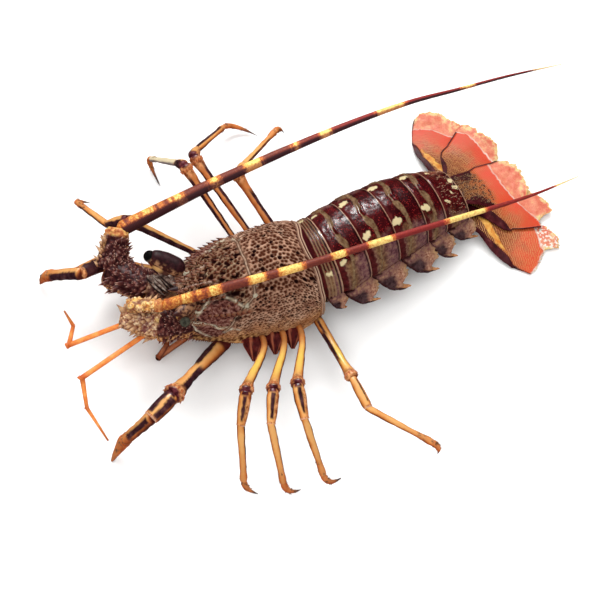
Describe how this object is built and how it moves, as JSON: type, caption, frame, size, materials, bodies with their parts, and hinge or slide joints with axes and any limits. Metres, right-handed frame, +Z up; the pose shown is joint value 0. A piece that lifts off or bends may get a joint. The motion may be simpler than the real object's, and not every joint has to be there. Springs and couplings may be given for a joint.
{
  "type": "spiny lobster",
  "caption": "Whole spiny lobster lying back up: spiny carapace, long swept-back antennae, bent walking legs, ringed abdomen and a spread tail fan.",
  "frame": {"origin": "under the middle of the whole lobster, on the surface it lies on", "axes": "+Z up out of the back, +Y from the head towards the tail, +X towards the lobster's left side"},
  "size_m": [0.3282, 0.4624, 0.0813],
  "materials": {
    "carapace_shell": "rough spiny shell, tan net over dark brown pits",
    "underside": "dull pale shell",
    "eye": "glossy, near black",
    "stalk_shell": "dark maroon shell with tan specks and pale spine tips",
    "whip": "ringed shell banded orange yellow and maroon",
    "antennule": "smooth orange shell",
    "leg_shell": "satin orange shell with maroon stripes",
    "claw": "satin brown orange tip",
    "abdomen_shell": "glossy dark maroon shell with cream spots",
    "tail_fan": "satin, dark at the root and salmon pink at the end"
  },
  "bodies": {
    "root": {"carapace": "carapace_shell", "face": "underside", "sternum": "underside", "eye_left": "eye", "antenna_left_stalk_1": "stalk_shell", "antenna_left_stalk_2": "stalk_shell", "antenna_left_stalk_3": "stalk_shell", "antenna_left_whip": "whip", "eye_right": "eye", "antenna_right_stalk_1": "stalk_shell", "antenna_right_stalk_2": "stalk_shell", "antenna_right_stalk_3": "stalk_shell", "antenna_right_whip": "whip", "antennule_left": "antennule", "feeding_leg_left": "leg_shell", "antennule_right": "antennule", "feeding_leg_right": "leg_shell", "abdomen_1": "abdomen_shell", "abdomen_2": "abdomen_shell", "abdomen_3": "abdomen_shell", "abdomen_4": "abdomen_shell", "abdomen_5": "abdomen_shell", "abdomen_6": "abdomen_shell", "telson": "tail_fan", "endopod_left": "tail_fan", "exopod_left": "tail_fan", "endopod_right": "tail_fan", "exopod_right": "tail_fan", "leg_left_1_merus": "leg_shell", "leg_left_1_shin": "leg_shell", "leg_left_1_dactyl": "claw", "leg_left_2_merus": "leg_shell", "leg_left_2_shin": "leg_shell", "leg_left_2_dactyl": "claw", "leg_left_3_merus": "leg_shell", "leg_left_3_shin": "leg_shell", "leg_left_3_dactyl": "claw", "leg_left_4_merus": "leg_shell", "leg_left_4_shin": "leg_shell", "leg_left_4_dactyl": "claw", "leg_left_5_merus": "leg_shell", "leg_left_5_shin": "leg_shell", "leg_left_5_dactyl": "claw", "leg_right_1_merus": "leg_shell", "leg_right_1_shin": "leg_shell", "leg_right_1_dactyl": "claw", "leg_right_2_merus": "leg_shell", "leg_right_2_shin": "leg_shell", "leg_right_2_dactyl": "claw", "leg_right_3_merus": "leg_shell", "leg_right_3_shin": "leg_shell", "leg_right_3_dactyl": "claw", "leg_right_4_merus": "leg_shell", "leg_right_4_shin": "leg_shell", "leg_right_4_dactyl": "claw", "leg_right_5_merus": "leg_shell", "leg_right_5_shin": "leg_shell", "leg_right_5_dactyl": "claw"}
  },
  "joints": []
}
